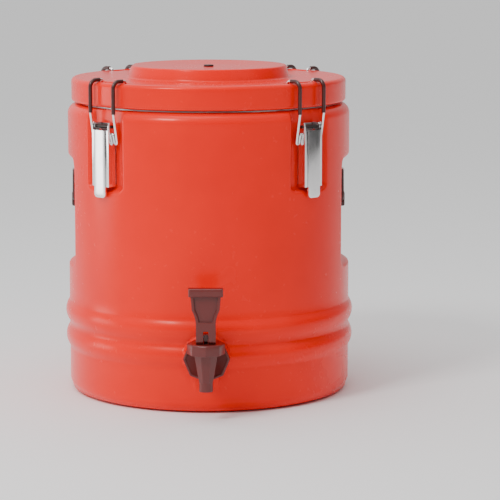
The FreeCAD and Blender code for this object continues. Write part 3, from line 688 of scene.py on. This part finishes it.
def wrap(rings: int, round_count: int) -> list[tuple[int, int, int, int]]:
    """Faces that join rings of vertices into a tube.

    Args:
        rings: how many rings there are.
        round_count: how many vertices each has.

    Returns:
        The quads.
    """
    faces = []
    for n in range(rings - 1):
        for m in range(round_count):
            after = (m + 1) % round_count
            low, high = n * round_count, (n + 1) * round_count
            faces.append((low + m, low + after, high + after, high + m))
    return faces


def smooth_step(x: np.ndarray) -> np.ndarray:
    """A smooth rise from 0 below 0 to 1 above 1."""
    x = np.clip(x, 0, 1)
    return x * x * x * (x * (6 * x - 15) + 10)


def soft_max(a: np.ndarray, b: np.ndarray | float, reach: float) -> np.ndarray:
    """The larger of two values, blended where they are within reach."""
    share = np.clip(0.5 + 0.5 * (a - b) / reach, 0, 1)
    return b * (1 - share) + a * share + reach * share * (1 - share)


@dataclass
class Recess:
    """A shallow pocket in the drum's side, with a flat floor and soft sloping edges."""

    angle: float
    floor: float
    half: float
    low: float
    high: float
    side_slope: float
    low_slope: float
    high_slope: float
    corner: float
    mean_depth: float = 0.005

    def turn(self, angles: np.ndarray) -> np.ndarray:
        """How far round each compass angle is from the pocket's middle, from -pi to pi."""
        return (angles - math.radians(self.angle) + math.pi) % (2 * math.pi) - math.pi

    def share(self, angles: np.ndarray, heights: np.ndarray) -> np.ndarray:
        """How far into the pocket each point is: 0 outside and 1 on its floor.

        Args:
            angles: compass angles, in radians.
            heights: heights above the base.

        Returns:
            The share at each point.
        """
        across = (self.half - np.abs(self.turn(angles)) * (self.floor + self.mean_depth)) / self.side_slope
        up = (heights - self.low) / self.low_slope
        down = (self.high - heights) / self.high_slope
        level = np.minimum(up, down)
        size = self.corner / self.side_slope
        gone = np.hypot(np.maximum(size - across, 0), np.maximum(size - level, 0))
        inside = np.where((across < size) & (level < size), size - gone, np.minimum(across, level))
        return smooth_step(0.5 + 0.5 * inside)

    def floor_radius(self, angles: np.ndarray) -> np.ndarray:
        """How far the flat floor is from the drum's axis at each angle."""
        return self.floor / np.cos(np.clip(self.turn(angles), -1, 1))


@dataclass
class Drum:
    """The moulded outer drum, with ribs, latch and handle recesses and the boss behind the tap."""

    radius: float = 180 * MM
    top: float = 368 * MM
    shoulder: float = 13 * MM
    foot: float = 12 * MM
    mouth: float = 152 * MM
    lip_drop: float = 5 * MM
    rib_heights: tuple[float, float] = (70.2 * MM, 102.5 * MM)
    rib_rises: tuple[float, float] = (4.6 * MM, 4.9 * MM)
    rib_bend: float = 19 * MM
    rib_blend: float = 1.6 * MM
    boss_radius: float = 28.6 * MM
    boss_face: float = 186 * MM
    boss_slope: float = 1.5 * MM
    tap_height: float = 71 * MM
    latch_half: float = 33 * MM
    handle_half: float = 60.6 * MM
    open_top: float = 1.0
    fine_step: float = 1.6 * MM
    coarse_step: float = 10 * MM
    fine_bands_mm: tuple[tuple[int, int], ...] = ((48, 118), (158, 175), (262, 282), (286, 310), (340, 400))
    recesses: list[Recess] = field(default_factory=list)

    def __post_init__(self) -> None:
        """Places the six recesses. Those of the latches are open at the top."""
        for corner in Corner:
            self.recesses.append(
                Recess(
                    angle=corner.value,
                    floor=170 * MM,
                    half=self.latch_half,
                    low=271 * MM,
                    high=self.open_top,
                    side_slope=3.0 * MM,
                    low_slope=4.5 * MM,
                    high_slope=self.open_top,
                    corner=11 * MM,
                )
            )
        for side in Side:
            self.recesses.append(
                Recess(
                    angle=side.value,
                    floor=165.5 * MM,
                    half=self.handle_half,
                    low=166.2 * MM,
                    high=298.8 * MM,
                    side_slope=3.5 * MM,
                    low_slope=4.3 * MM,
                    high_slope=6.9 * MM,
                    corner=9 * MM,
                )
            )

    def outline(self) -> np.ndarray:
        """The drum's plain outline from the middle of the base to inside the mouth."""
        rough = rounded_outline(
            [
                (0, 0, 0),
                (self.radius, 0, self.foot),
                (self.radius, self.top, self.shoulder),
                (self.mouth, self.top, 1.5 * MM),
                (self.mouth, self.top - self.lip_drop, 0),
            ],
            steps=12,
        )
        fine = subdivided(rough, self.fine_step)
        side = (fine[:, 0] > self.radius - 0.5 * MM) | (np.diff(fine[:, 0], append=0) != 0)
        keep = [0]
        for n in range(1, len(fine) - 1):
            height = fine[n, 1]
            near = any(low * MM < height < high * MM for low, high in self.fine_bands_mm)
            flat = fine[n, 0] < self.radius - self.shoulder - 1 * MM
            step = self.coarse_step if flat or not near else 0.0
            if not side[n] or np.linalg.norm(fine[n] - fine[keep[-1]]) >= step:
                keep.append(n)
        keep.append(len(fine) - 1)
        return fine[keep]

    def angles(self) -> np.ndarray:
        """Compass angles round the drum, close together at the recesses' edges and behind the tap."""
        coarse, closest = 2.5, 0.22
        edge_reach, edge_step = 3.2, 0.4
        tap_reach, tap_end, tap_step = 11, 11.01, 0.5
        steps = [np.arange(0, 360, coarse)]
        for recess in self.recesses:
            edge = math.degrees(recess.half / (recess.floor + recess.mean_depth))
            for sign in (-1, 1):
                steps.append(np.arange(-edge_reach, edge_reach, edge_step) + recess.angle + sign * edge)
        steps.append(np.arange(-tap_reach, tap_end, tap_step) + TAP_ANGLE)
        merged = np.sort(np.concatenate(steps) % 360)
        kept = [merged[0]]
        for angle in merged[1:]:
            if angle - kept[-1] > closest:
                kept.append(angle)
        return np.radians(np.array(kept))

    def build(self, shop: Workshop) -> None:
        """Builds the drum's skin.

        Args:
            shop: where the piece is made.
        """
        outline = self.outline()
        angles = self.angles()
        radii, turns = np.meshgrid(outline[:, 0], angles, indexing="ij")
        heights = np.repeat(outline[:, 1][:, None], len(angles), 1)
        wall = smooth_step((radii - self.radius + self.foot) / self.foot)
        rise = np.zeros_like(radii)
        for middle, most in zip(self.rib_heights, self.rib_rises):
            rise = soft_max(most - (heights - middle) ** 2 / (2 * self.rib_bend), rise, self.rib_blend)
        radii = radii + wall * rise
        for recess in self.recesses:
            target = recess.floor_radius(turns)
            share = recess.share(turns, heights)
            sunk = np.minimum(radii, target)
            radii = radii + (sunk - radii) * share
        from_tap = turns - math.radians(TAP_ANGLE)
        around = from_tap * self.boss_face
        out = np.hypot(around, heights - self.tap_height)
        face = self.boss_face / np.cos(np.clip(from_tap, -1, 1))
        raised = smooth_step((self.boss_radius - out) / self.boss_slope + 0.5)
        radii = radii + (np.maximum(face, radii) - radii) * raised
        verts = np.stack([radii * np.cos(turns), radii * np.sin(turns), heights], 2).reshape(-1, 3)
        piece = shop.keep(
            "drum_skin", verts, wrap(len(outline), len(angles)), Finish.SHELL, Body.DRUM.value, "outer_shell"
        )
        shade_smooth(piece, SKIN_SHARP)
        shop.dress_nodes(Finish.FOAM, "foam_insulation", "lid_foam")
        shop.dress_nodes(Finish.TANK, "inner_liner")


def shade_smooth(piece: bpy.types.Object, degrees: float) -> None:
    """Shades a piece smooth except at edges sharper than an angle.

    Args:
        piece: the piece.
        degrees: the angle.
    """
    mesh = piece.data
    mesh.shade_smooth()
    work = bmesh.new()
    work.from_mesh(mesh)
    limit = math.radians(degrees)
    for edge in work.edges:
        edge.smooth = len(edge.link_faces) != 2 or edge.calc_face_angle(0.0) < limit
    work.to_mesh(mesh)
    work.free()


@dataclass
class Lid:
    """The lid: rim, deck with four hook slots, raised disc with its finger cut, and the vent."""

    radius: float = 175 * MM
    bottom: float = 370.8 * MM
    rim_top: float = 401 * MM
    deck: float = 400 * MM
    slot_middle: float = 160.5 * MM
    slot_half_wide: float = 6.5 * MM
    slot_half_long: float = 25.5 * MM
    slot_depth: float = 8 * MM
    slot_slope: float = 1.6 * MM
    slot_corner: float = 4 * MM
    disc: float = 103 * MM
    disc_top: float = 415.5 * MM
    dish: float = 2.5 * MM
    vent: float = 5.3 * MM
    wall: float = 4 * MM
    foot_round: float = 3.5 * MM
    rim_round: float = 5.5 * MM
    disc_foot_round: float = 4 * MM
    disc_draft: float = 4 * MM
    disc_round: float = 2.4 * MM
    dish_edge: float = 12 * MM
    dish_edge_round: float = 14 * MM
    dish_share: float = 0.45
    dish_round: float = 60 * MM
    vent_round: float = 0.8 * MM
    vent_depth: float = 2 * MM
    cut_in: float = 5 * MM
    cut_up: float = 3 * MM
    cut_slope: float = 1.04
    cut_blend: float = 1.5 * MM

    def outline(self) -> np.ndarray:
        """The lid's outline from inside its rim to the vent."""
        return rounded_outline(
            [
                (self.radius - self.wall, self.bottom + 3 * self.wall, 0),
                (self.radius - self.wall, self.bottom, 1.5 * MM),
                (self.radius, self.bottom, self.foot_round),
                (self.radius, self.rim_top, self.rim_round),
                (self.disc, self.deck, self.disc_foot_round),
                (self.disc - self.disc_draft, self.disc_top, self.disc_round),
                (self.disc - self.dish_edge, self.disc_top, self.dish_edge_round),
                (self.dish_share * self.disc, self.disc_top - self.dish, self.dish_round),
                (self.vent, self.disc_top - self.dish, self.vent_round),
                (self.vent, self.disc_top - self.dish - self.vent_depth, 0),
            ],
            steps=8,
        )

    def angles(self) -> np.ndarray:
        """Compass angles round the lid, close together over the slots."""
        coarse, closest = 1.5, 0.12
        edge_reach, edge_step = 1.6, 0.2
        reach = math.degrees(self.slot_half_long / self.slot_middle)
        steps = [np.arange(0, 360, coarse)]
        for corner in Corner:
            for sign in (-1, 1):
                steps.append(np.arange(-edge_reach, edge_reach, edge_step) + corner.value + sign * reach)
        merged = np.sort(np.concatenate(steps) % 360)
        keep = np.append(np.diff(merged) > closest, True)
        return np.radians(merged[keep])

    def fine_outline(self) -> np.ndarray:
        """The outline with close points over the band of the deck that holds the slots."""
        coarse_step, close_step = 6 * MM, 0.5 * MM
        inner_end = self.slot_middle - 12 * MM
        fine = subdivided(self.outline(), coarse_step)
        on_top = fine[:, 1] > self.deck - 1 * MM
        dense = np.arange(self.radius - 6 * MM, inner_end, -close_step)
        start = int(np.argmax((fine[:, 0] > inner_end) & on_top & (fine[:, 0] < self.radius - 5.6 * MM)))
        stop = int(np.argmax((fine[:, 0] < dense[-1]) & on_top))
        levels = np.interp(dense, fine[start - 1 : stop + 1, 0][::-1], fine[start - 1 : stop + 1, 1][::-1])
        return np.concatenate([fine[:start], np.stack([dense, levels], 1), fine[stop:]])

    def build(self, shop: Workshop) -> None:
        """Builds the lid's top.

        Args:
            shop: where the pieces are made.
        """
        fine = self.fine_outline()
        angles = self.angles()
        radii, turns = np.meshgrid(fine[:, 0], angles, indexing="ij")
        heights = np.repeat(fine[:, 1][:, None], len(angles), 1)
        x, y = radii * np.cos(turns), radii * np.sin(turns)
        top = heights > self.deck - 2 * MM
        for corner in Corner:
            turn = math.radians(corner.value)
            out = x * math.cos(turn) + y * math.sin(turn)
            along = np.abs(-x * math.sin(turn) + y * math.cos(turn))
            across = np.abs(out - self.slot_middle)
            corner_round = np.hypot(
                np.maximum(across - self.slot_half_wide + self.slot_corner, 0),
                np.maximum(along - self.slot_half_long + self.slot_corner, 0),
            )
            inside = np.where(out > 0, self.slot_corner - corner_round, -1.0)
            share = smooth_step(0.5 + inside / self.slot_slope)
            heights = heights - np.where(top, share * self.slot_depth, 0)
        cut = (x + self.disc + self.cut_in) * self.cut_slope + self.deck + self.cut_up
        near = (heights > self.deck + 2 * MM) & (x < 0) & (np.abs(y) < self.disc)
        heights = np.where(near, -soft_max(-heights, -cut, self.cut_blend), heights)
        verts = np.stack([x, y, heights], 2).reshape(-1, 3)
        piece = shop.keep("lid_cover", verts, wrap(len(fine), len(angles)), Finish.SHELL, Body.LID.value, "lid_shell")
        shade_smooth(piece, SKIN_SHARP)
        shop.dress_nodes(Finish.SHELL, "lid_pan")
        shop.dress_nodes(Finish.SEAL, "lid_gasket")
        shop.dress_nodes(Finish.VENT, "vent_tube", "vent_plug")


@dataclass
class Latches:
    """Four toggle latches: plate, rivets, pin, lever, wire bail and sleeves."""

    edge: float = 0.35 * MM

    def build(self, shop: Workshop) -> None:
        """Dresses every latch.

        Args:
            shop: where the pieces are made.
        """
        for corner in Corner:
            name = corner.label
            shop.eased(f"latch_lever_{name}", self.edge, Finish.BRIGHT, f"lever_{name}")
            shop.dress_nodes(Finish.SATIN, f"latch_base_{name}", f"latch_rivets_{name}")
            shop.dress_nodes(Finish.PIN, f"latch_pin_{name}")
            shop.dress_nodes(Finish.BRIGHT, f"latch_bail_{name}")
            shop.dress_nodes(Finish.GRIP, f"latch_sleeves_{name}")


@dataclass
class Handles:
    """Two hanging side handles: plate, rivets, wire and grip."""

    edge: float = 0.5 * MM

    def build(self, shop: Workshop) -> None:
        """Dresses both handles.

        Args:
            shop: where the pieces are made.
        """
        for side in Side:
            name = side.label
            shop.dress_nodes(Finish.SATIN, f"handle_plate_{name}", f"handle_rivets_{name}")
            shop.dress_nodes(Finish.GRIP, f"handle_bail_{name}")
            shop.eased(f"handle_grip_{name}", self.edge, Finish.GRIP, f"handle_{name}")


@dataclass
class Tap:
    """The lever tap on the drum's front."""

    edge: float = 0.7 * MM
    cell: float = 0.4 * MM

    def build(self, shop: Workshop) -> None:
        """Dresses the tap.

        Args:
            shop: where the pieces are made.
        """
        for node in ("tap_flange", "tap_bonnet", "tap_nut"):
            shop.eased(node, self.edge, Finish.TAP, Body.DRUM.value)
        shop.softened("tap_body", self.cell, Finish.TAP, Body.DRUM.value)
        shop.softened("tap_lever", self.cell, Finish.TAP, Body.TAP_HANDLE.value)
        shop.dress_nodes(Finish.TAP, "tap_stem")
        shop.dress_nodes(Finish.SEAL, "tap_outer_seal", "tap_inner_seal", "tap_seat_cup")
        shop.dress_nodes(Finish.SATIN, "tap_spring", "tap_lever_pin")


@dataclass(frozen=True)
class Lamp:
    """One soft square light: its name, where it hangs, its width in metres and its power in watts."""

    name: str
    place: tuple[float, float, float]
    size: float
    power: float


@dataclass
class Studio:
    """A pale floor, soft lights and the camera."""

    eye: tuple[float, float, float] = (0.0528, -2.85, 0.607)
    tilt: float = 8.6
    lens: float = 160.6
    sensor_width: float = 36
    aim_height: float = 0.22
    base_glow: float = 0.08
    back_glow: float = 0.5
    left_glow: float = 0.6
    up_glow: float = 1.0
    floor_reach: float = 60.0
    floor_colour: Colour = (0.9, 0.9, 0.9)
    floor_roughness: float = 0.8
    lamps: tuple[Lamp, ...] = (
        Lamp("key", (-1.2, -1.5, 2.1), size=0.6, power=36),
        Lamp("fill", (1.9, -1.5, 1.0), size=1.6, power=4),
        Lamp("top", (-0.3, -0.5, 2.2), size=1.0, power=9),
        Lamp("card", (-2.1, 0.0, 0.27), size=0.75, power=7),
    )

    def build(self) -> None:
        """Sets the stage."""
        self.floor()
        for lamp in self.lamps:
            self.light(lamp)
        self.room()
        camera = bpy.data.objects.new("camera", bpy.data.cameras.new("camera"))
        camera.location = self.eye
        camera.rotation_euler = (math.radians(90 - self.tilt), 0, 0)
        camera.data.lens = self.lens
        camera.data.sensor_width = self.sensor_width
        bpy.context.scene.collection.objects.link(camera)
        bpy.context.scene.camera = camera

    def room(self) -> None:
        """Surrounds the drum with a white room: bright behind, above and to the left, dim to the right."""
        world = bpy.data.worlds.new("room")
        world.use_nodes = True
        tree = world.node_tree
        graph = Graph(tree)
        split = tree.nodes.new("ShaderNodeSeparateXYZ")
        graph.feed(split.inputs[0], graph.add("ShaderNodeTexCoord", {}, {}, "Generated"))
        right, back, up = (Value(graph, split.outputs[n]) for n in range(3))
        behind = graph.spread(back, 0.2, 0.9)
        left = graph.spread(right, 0.1, -0.9)
        above = graph.spread(up, 0.3, 1.0)
        strength = self.base_glow + behind * self.back_glow + left * self.left_glow + above * self.up_glow
        graph.feed(tree.nodes["Background"].inputs["Strength"], strength)
        tree.nodes["Background"].inputs["Color"].default_value = rgba((1.0, 1.0, 1.0))
        bpy.context.scene.world = world

    def floor(self) -> None:
        """Lays the floor."""
        mesh = bpy.data.meshes.new("floor")
        far = self.floor_reach
        mesh.from_pydata([(-far, -far, 0), (far, -far, 0), (far, far, 0), (-far, far, 0)], [], [(0, 1, 2, 3)])
        floor = bpy.data.objects.new("floor", mesh)
        bpy.context.scene.collection.objects.link(floor)
        graph = MaterialGraph("pale_floor")
        mesh.materials.append(graph.finish(Base_Color=rgba(self.floor_colour), Roughness=self.floor_roughness))

    def light(self, lamp: Lamp) -> None:
        """Hangs one soft light that faces the drum.

        Args:
            lamp: the light.
        """
        glow = bpy.data.lights.new(lamp.name, "AREA")
        glow.shape = "SQUARE"
        glow.size = lamp.size
        glow.energy = lamp.power
        item = bpy.data.objects.new(lamp.name, glow)
        item.location = lamp.place
        aim = Vector((0, 0, self.aim_height)) - Vector(lamp.place)
        item.rotation_euler = aim.to_track_quat("-Z", "Y").to_euler()
        bpy.context.scene.collection.objects.link(item)


def main() -> None:
    """Builds every sub-assembly in order."""
    logging.basicConfig(level=logging.INFO, format="%(message)s")
    shop = Workshop()
    builders: Sequence[Callable[[Workshop], None]] = (
        Drum().build,
        Lid().build,
        Latches().build,
        Handles().build,
        Tap().build,
    )
    for build in builders:
        build(shop)
    Studio().build()


if __name__ == "__main__":
    main()
